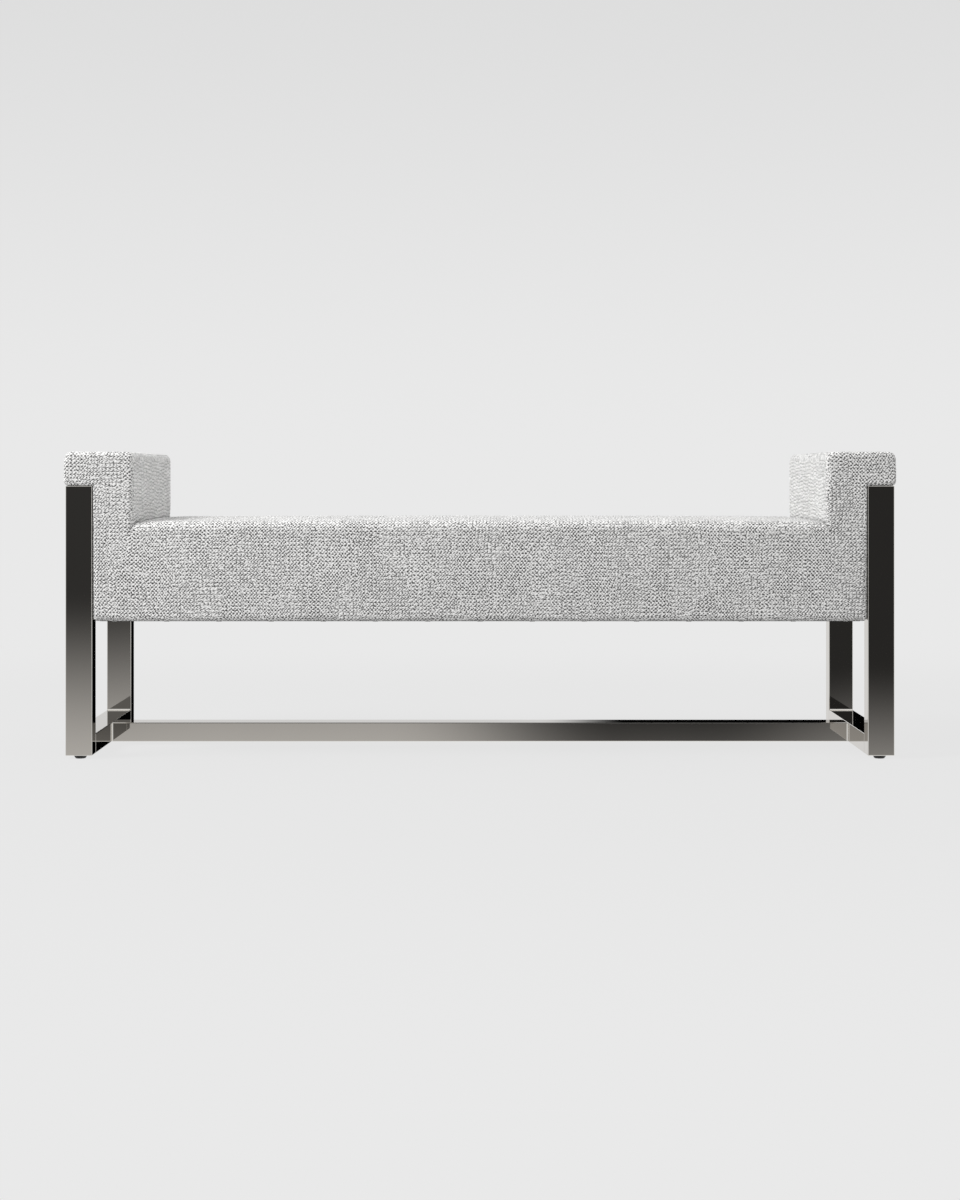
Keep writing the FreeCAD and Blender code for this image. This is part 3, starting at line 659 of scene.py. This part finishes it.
def cover_rings(cover, line, depth):
    """One closed ring round the bench at each station, as points and as lengths along the ring.

    A ring goes over the upper outline from front to back, down the back, home along the lower
    outline and up the front, and marks are the counts of its points at the end of each of these. At an
    edge the inset n and the place y follow a quarter circle of the edge's rounding. Over the seat n
    grows with the square of y, and below the seat the front and back swell as the squared sine of
    their height.
    """
    faces, edge, over = 34, 7, 46
    quarter = np.linspace(0, np.pi / 2, edge + 1)[:-1]
    seat = (line["top_r"] - cover.arm_edge) / (cover.seat_roll - cover.arm_edge)
    seat = np.clip(seat, 0, 1)[:, None] ** 2
    seat[np.abs(line["top"][:, 0]) > cover.arm_inside] = 0

    def rounded(points, inward, radius, bow):
        """Front edge, flat and back edge of one outline, from the front face to the back face."""
        radius = radius[:, None]
        y_front = -depth + radius * (1 - np.cos(quarter))
        n_front = radius * (1 - np.sin(quarter))
        flat = np.linspace(-1, 1, over + 1)[None, :] * (depth - radius)
        y = np.concatenate([y_front, flat, -y_front[:, ::-1]], axis=1)
        fall = bow * (np.clip(np.abs(y), 0, depth - radius) / depth) ** 2
        n = np.concatenate([n_front, np.zeros_like(flat), n_front[:, ::-1]], axis=1) + fall
        xz = points[:, None, :] + n[:, :, None] * inward[:, None, :]
        return np.stack([xz[:, :, 0], y, xz[:, :, 1]], axis=2)

    upper = rounded(line["top"], line["top_in"], line["top_r"], cover.seat_bow * seat)
    lower = rounded(line["low"], line["low_in"], line["low_r"], np.zeros_like(seat))[:, ::-1]
    rise = np.linspace(0, 1, faces + 1)[1:-1][None, :, None]
    front = lower[:, -1:] + (upper[:, :1] - lower[:, -1:]) * rise
    back = upper[:, -1:] + (lower[:, :1] - upper[:, -1:]) * rise
    swell_height = cover.seat_top - cover.seat_roll - COVER_LOW.z
    for face, way in ((front, -1), (back, 1)):
        climb = np.clip((face[:, :, 2] - COVER_LOW.z) / swell_height, 0, 1)
        face[:, :, 1] += way * cover.swell * np.sin(np.pi * climb) ** 2
    ring = np.concatenate([upper, back, lower, front], axis=1)
    marks = np.cumsum([upper.shape[1], faces - 1, lower.shape[1], faces - 1])
    steps = np.linalg.norm(np.roll(ring, -1, axis=1) - ring, axis=2)
    along = np.cumsum(steps, axis=1) - steps
    return ring, along, marks


def weave_map(cover, ring, along, marks, line):
    """UV places in metres for the corners of every face, so that rows run level.

    Front and back take x and height. Over the seat the rows go on from the front face, with x and
    the length along the ring. On the sides of the arms they take the height, and x at the front edge
    plus or minus the length along the ring from there, so that the rows go on round that edge.
    """
    closed = np.concatenate([ring, ring[:, :1]], axis=1)
    x, z = closed[:, :, 0], closed[:, :, 2]
    last_step = np.linalg.norm(ring[:, -1:] - ring[:, :1], axis=2)
    path = np.concatenate([along, along[:, -1:] + last_step], axis=1)
    plane = np.stack([x, z], axis=2)
    lengthwise = np.stack([x, z[:, :1] + path], axis=2)
    half = np.sign(line["top"][:, :1])
    outer = np.abs(line["top"][:, :1]) > (cover.arm_inside + COVER_HIGH.x) / 2
    home = slice(marks[2] - 1, marks[2])
    top_sides = np.stack([x[:, :1] + half * np.where(outer, 1, -1) * path, z], axis=2)
    low_sides = np.stack([x[:, home] + half * (path[:, home] - path), z], axis=2)
    column = np.arange(ring.shape[1])
    on_top = column < marks[0] - 1
    on_low = (column >= marks[1]) & (column < marks[2] - 1)
    upright = np.where(on_top, line["sides"][:, :1], 0) + np.where(on_low, line["sides"][:, 1:], 0)
    wrapped = np.broadcast_to(on_top | on_low, upright.shape)

    def corners(grid):
        """The four corners of every face, in the order in which the faces name their points."""
        return np.stack([grid[:-1, :-1], grid[1:, :-1], grid[1:, 1:], grid[:-1, 1:]], axis=2)

    pick = upright[:, :, None, None] > 0.5
    sides = np.where(on_low[:, None, None], corners(low_sides), corners(top_sides))
    over = np.where(pick, sides, corners(lengthwise))
    return np.where(wrapped[:, :, None, None], over, corners(plane))


def grid_faces(rows, columns):
    """Corner numbers of the four-sided faces of a grid whose columns close into a ring."""
    number = np.arange(rows * columns).reshape(rows, columns)
    beside = np.roll(number, -1, axis=1)
    return np.stack([number[:-1], number[1:], beside[1:], beside[:-1]], axis=2).reshape(-1, 4)


def mesh_piece(name, points, faces, uv=None, painted_shade=None):
    """A mesh object at the origin from arrays of points and four-sided faces, doubles merged. uv goes
    into the map that the weave reads, and the painted crease shade into the points' crease attribute."""
    mesh = bpy.data.meshes.new(name)
    mesh.from_pydata(points.reshape(-1, 3), [], faces)
    if uv is not None:
        layer = mesh.uv_layers.new(name="weave")
        layer.data.foreach_set("uv", uv.astype(np.float32).ravel())
    if painted_shade is not None:
        mesh.attributes.new("crease", "FLOAT", "POINT").data.foreach_set("value", painted_shade.ravel())
    shaped = bmesh.new()
    shaped.from_mesh(mesh)
    bmesh.ops.remove_doubles(shaped, verts=shaped.verts, dist=MERGE)
    bmesh.ops.dissolve_degenerate(shaped, edges=shaped.edges, dist=MERGE)
    bmesh.ops.recalc_face_normals(shaped, faces=shaped.faces)
    shaped.to_mesh(mesh)
    shaped.free()
    mesh.shade_smooth()
    piece = bpy.data.objects.new(name, mesh)
    bpy.context.scene.collection.objects.link(piece)
    return piece


def hemmed(low, high, inset, spacing):
    """Even places from low to high with one more close to each end, and 0 at the ends, 1 between."""
    inner = np.linspace(low + inset, high - inset, int((high - low) / spacing))
    places = np.concatenate([[low], inner, [high]])
    return places, np.concatenate([[0.0], np.ones_like(inner), [0.0]])


def waved_sheet(name, low, high, hang, spacing):
    """A thin closed sheet in the box of its CAD node. hang(x, y) is how far it dips at a place.

    Rings run along the upper side and back along the lower, half the thickness from the middle,
    and close on the sheet's four edges, where the thickness goes to nothing.
    """
    half = (high.z - low.z) / 2
    x, x_full = hemmed(low.x, high.x, half, spacing)
    y, y_full = hemmed(low.y, high.y, half, spacing)
    side = half * np.concatenate([x_full, -x_full[::-1]])
    points = np.empty((len(y), len(side), 3))
    points[:, :, 0] = np.concatenate([x, x[::-1]])
    points[:, :, 1] = y[:, None]
    points[:, :, 2] = low.z + half + side * y_full[:, None] - hang(points[:, :, 0], points[:, :, 1])
    return mesh_piece(name, points, grid_faces(*points.shape[:2]))


class BenchUpholstery(bpy.types.Operator):
    """Woven cover over the seat and both arms."""
    bl_idname = "bench.upholstery"
    bl_label = "Upholstery"

    def execute(self, context):
        cover = context.scene.bench_cover
        line = stations(cover)
        ring, along, marks = cover_rings(cover, line, COVER_HIGH.y)
        uv = weave_map(cover, ring, along, marks, line)
        # painted shade along the crease, kept in the points' crease attribute
        painted_shade = painted_crease_shade(cover, line, ring, marks)
        piece = mesh_piece("upholstery", ring, grid_faces(*ring.shape[:2]), uv, painted_shade)
        piece.data.materials.append(woven_cover(cover))
        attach(piece, BODY)
        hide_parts("cover", *PADS)
        return {"FINISHED"}


class BenchUnderCloths(bpy.types.Operator):
    """Dust cover under the body and felt over the springs."""
    bl_idname = "bench.under_cloths"
    bl_label = "Cloths under the seat"

    def execute(self, context):
        cloths = context.scene.bench_cloths
        self.dust_sheet(cloths)
        self.felt_sheet(cloths)
        return {"FINISHED"}

    def dust_sheet(self, cloths):
        """The dust cover, stretched on its staples."""
        low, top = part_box("dust_cover")

        def hang(x, y):
            """Nothing at the stapled edges, most at the middle, with faint waves along the bench: the
            sag times (1 - y squared) squared, (1 - x to the eighth) and a cosine."""
            across = np.clip(1 - (y / (top.y - cloths.dust_hem)) ** 2, 0, 1) ** 2
            along = np.clip(1 - (x / (top.x - cloths.dust_hem)) ** 8, 0, 1)
            ripple = np.cos(DUST_RIPPLE[0] * x + DUST_RIPPLE[1] * y)
            return cloths.dust_sag * across * along * (1 - DUST_RIPPLE_SHARE * (1 - ripple))

        dust = waved_sheet("dust_sheet", low, top, hang, DUST_STEP)
        dust.data.materials.append(fibre_cloth("dust_cloth", cloths.dust, DUST_DOT))
        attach(dust, BODY)
        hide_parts("dust_cover")

    def felt_sheet(self, cloths):
        """The felt, laid on the springs."""
        low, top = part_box("spring_felt")

        def hang(x, y):
            """A raised cosine along the bench, nothing over a spring and most between two."""
            return cloths.felt_wave * (0.5 - 0.5 * np.cos(2 * np.pi * x / cloths.spring_pitch))

        felt = waved_sheet("felt_sheet", low, top, hang, FELT_STEP)
        felt.data.materials.append(fibre_cloth("needle_felt", cloths.felt))
        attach(felt, BODY)
        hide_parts("spring_felt")


class BenchHardFinishes(bpy.types.Operator):
    """Finishes of the frame, glides, springs, timber and fixings."""
    bl_idname = "bench.hard_finishes"
    bl_label = "Hard finishes"

    def execute(self, context):
        hard = context.scene.bench_hard
        mirror = polished_steel("smoked_mirror_steel", hard.mirror, hard.mirror_blur, hard.weld)
        # real weld beads, tinted lighter as a painted highlight
        weld = polished_steel("weld_painted_highlight", hard.weld, hard.mirror_blur, hard.weld)
        zinc = plain_metal("plain_steel", hard.zinc, metallic=1.0, rough=0.36)
        wire = plain_metal("spring_steel", hard.spring, metallic=0.6, rough=0.42)
        nylon = moulded("glide_nylon", hard.nylon, rough=0.50)
        plug = moulded("plug_plastic", hard.plug, rough=0.50)
        beech_long = timber("hardwood_long", hard.beech, along=0)
        beech_cross = timber("hardwood_cross", hard.beech, along=1)
        beech_block = timber("hardwood_block", hard.beech, along=2)
        panel = timber("plywood_panel", hard.birch, along=1, ply=PLY, stack=0)
        board = timber("plywood_board", hard.birch, along=1, ply=PLY, stack=2)
        finishes = (
            (mirror, ("_leg", "_floor_rail", "_top_rail", "stretcher")),
            (weld, ("_welds",)),
            (zinc, ("leg_top_caps", "leg_foot_plates", "glide_nuts", "_glide_stem", "spring_clips",
                    "dust_cover_staples", "arm_bolts", "arm_bolt_washers", "arm_inserts",
                    "rail_screws", "board_screws")),
            (wire, ("seat_springs",)),
            (nylon, ("_glide_base",)),
            (plug, ("hole_plugs",)),
            (beech_long, ("_seat_rail",)),
            (beech_cross, ("_cross_brace",)),
            (beech_block, ("_corner_block",)),
            (panel, ("_arm_panel",)),
            (board, ("_arm_board",)),
        )
        for material, endings in finishes:
            for name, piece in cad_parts.items():
                if name.endswith(endings):
                    piece.data.materials.clear()
                    piece.data.materials.append(material)
        return {"FINISHED"}


class BenchStudio(bpy.types.Operator):
    """Pale floor, even light, one large lamp and the camera."""
    bl_idname = "bench.studio"
    bl_label = "Studio"

    def execute(self, context):
        stage = context.scene.bench_stage
        scene = context.scene
        scene.view_settings.view_transform = "Standard"
        self.sky(scene, stage)
        self.floor(stage)
        self.lamp(scene, stage)
        self.camera(scene, stage)
        return {"FINISHED"}

    def camera(self, scene, stage):
        """A level camera in front of the middle, with its view shifted down."""
        lens = bpy.data.cameras.new("camera")
        lens.lens = stage.lens
        lens.sensor_width = SENSOR_MM
        lens.shift_y = stage.fall
        camera = bpy.data.objects.new("camera", lens)
        camera.location = (0.0, -stage.distance, stage.eye)
        camera.rotation_euler = (np.pi / 2, 0.0, 0.0)
        scene.collection.objects.link(camera)
        scene.camera = camera

    def sky(self, scene, stage):
        """The world. The camera sees it pale, a little darker high up. To cloth it is an even light,
        weaker from the front and the left. To polished metal it is the mirrored studio."""
        world = bpy.data.worlds.new("studio")
        world.use_nodes = True
        scene.world = world
        sky = Finish(world.node_tree)
        x, y, z = sky.across(sky.node("ShaderNodeTexCoord", output=0))
        even = sky.grey(stage.ambient * (1 + BACK_LIGHT * y + RIGHT_LIGHT * x))
        studio = sky.grey(self.mirrored_studio(stage, x, y, z))
        backdrop = sky.blend(z.step(0.0, 0.3), opaque(stage.pale), opaque(stage.pale, HIGH_BACKDROP))
        light_path = "ShaderNodeLightPath"
        seen = sky.blend(sky.node(light_path, output=3), even, studio)
        seen = sky.blend(sky.node(light_path, output=0), seen, backdrop)
        glow = sky.node("ShaderNodeBackground", (), {"Color": seen, "Strength": 1.0})
        sky.node("ShaderNodeOutputWorld", (), {"Surface": glow})

    def mirrored_studio(self, stage, x, y, z):
        """How bright the studio is in a direction, where turn and rise are x and z over the size of y.

        In front a bright floor fades to a dark eye line, sooner on the right, with a faint glow high
        on the left. Behind stands a white screen on the left with a black one beside it, over a pale
        floor. The sides are pale, the right one more, and overhead it is white.
        """
        depth = y.size().above(0.001)
        turn, rise = x / depth, z / depth
        right = turn.step(-0.05, 0.07)
        late = 0.06 * right - 0.02 * turn.step(0.11, 0.19) - 0.005 * turn.step(-0.19, -0.13)
        floor_glow = stage.front_floor * (0 - rise - late).step(0.055, 0.158)
        high_glow = 0.20 * (1 - right) * rise.step(0.03, 0.10)
        eye_line = 0.055 - 0.015 * right
        front = eye_line + floor_glow + high_glow
        screen = stage.screen * (1 - turn.step(0.028, 0.071))
        screen = screen * (1 - 0.15 * rise.step(0.0, 0.06)) + 0.001
        back = (0 - rise).step(0.14, 0.20).between(screen, stage.back_floor)
        side = x.step(-0.1, 0.1).between(stage.left_wall, stage.right_wall)
        level = y.step(-0.02, 0.02).between(front, back)
        level = turn.size().step(0.55, 0.9).between(level, side)
        return rise.step(0.6, 1.0).between(level, stage.screen)

    def floor(self, stage):
        """A wide pale floor, unseen from below. The camera sees it nearly even, with a faint shadow
        near the bench, twice as wide as deep, that fades out to the background's own colour."""
        corners = FLOOR_REACH * np.array([[-1, -1, 0], [1, -1, 0], [1, 1, 0], [-1, 1, 0]], float)
        piece = mesh_piece("floor", corners, np.array([[0, 1, 2, 3]]))
        material, floor = new_finish("studio_floor")
        x, y, _ = floor.across(floor.place())
        away = (x * x / 4 + y * y) ** 0.5
        matt = floor.node("ShaderNodeBsdfDiffuse", (), {"Color": opaque(stage.pale, FLOOR_MATT)})
        even = floor.node("ShaderNodeEmission", (), {"Color": opaque(stage.pale), "Strength": 1.0})
        clear = floor.node("ShaderNodeBsdfTransparent")
        mix = "ShaderNodeMixShader"
        to_camera = floor.node("ShaderNodeLightPath", output=0)
        evenness = away.step(*FLOOR_FADE).between(FLOOR_EVEN, 1.0)
        shown = floor.node(mix, (), (evenness * to_camera, matt, even))
        below = floor.node("ShaderNodeNewGeometry", output=6)
        floor.output(floor.node(mix, (), (below, shown, clear)))
        piece.data.materials.append(material)
        piece.visible_glossy = False

    def lamp(self, scene, stage):
        """A large soft lamp high on the left, unseen in the metal."""
        light = bpy.data.lights.new("key", "AREA")
        light.shape = "SQUARE"
        light.size = LAMP_SIZE
        light.energy = stage.key
        lamp = bpy.data.objects.new("key", light)
        lamp.location = LAMP_PLACE
        aim = np.array(LAMP_AIM) - np.array(LAMP_PLACE)
        lamp.rotation_euler = (np.arccos(-aim[2] / np.linalg.norm(aim)), 0.0,
                               np.arctan2(aim[1], aim[0]) - np.pi / 2)
        lamp.visible_glossy = False
        scene.collection.objects.link(lamp)


class BenchPanel(bpy.types.Panel):
    """The bench's steps and their values."""
    bl_idname = "VIEW3D_PT_bench"
    bl_label = "Bench"
    bl_space_type = "VIEW_3D"
    bl_region_type = "UI"
    bl_category = "Bench"

    def draw(self, context):
        for operator, group in STEPS:
            box = self.layout.box()
            box.operator(operator.bl_idname)
            values = getattr(context.scene, group)
            for name in values.__annotations__:
                box.prop(values, name)


STEPS = (
    (BenchUpholstery, "bench_cover"),
    (BenchUnderCloths, "bench_cloths"),
    (BenchHardFinishes, "bench_hard"),
    (BenchStudio, "bench_stage"),
)
GROUPS = (BenchCover, BenchCloths, BenchHard, BenchStage)
CLASSES = GROUPS + tuple(operator for operator, _ in STEPS) + (BenchPanel,)


def register():
    """Registers the classes and gives the scene their values."""
    for made in CLASSES:
        bpy.utils.register_class(made)
    for group, (_, name) in zip(GROUPS, STEPS):
        setattr(bpy.types.Scene, name, bpy.props.PointerProperty(type=group))


def unregister():
    """Takes back what register does."""
    for _, name in STEPS:
        delattr(bpy.types.Scene, name)
    for made in reversed(CLASSES):
        bpy.utils.unregister_class(made)


def main():
    """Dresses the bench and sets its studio."""
    register()
    bpy.ops.bench.upholstery()
    bpy.ops.bench.under_cloths()
    bpy.ops.bench.hard_finishes()
    bpy.ops.bench.studio()


if __name__ == "__main__":
    main()
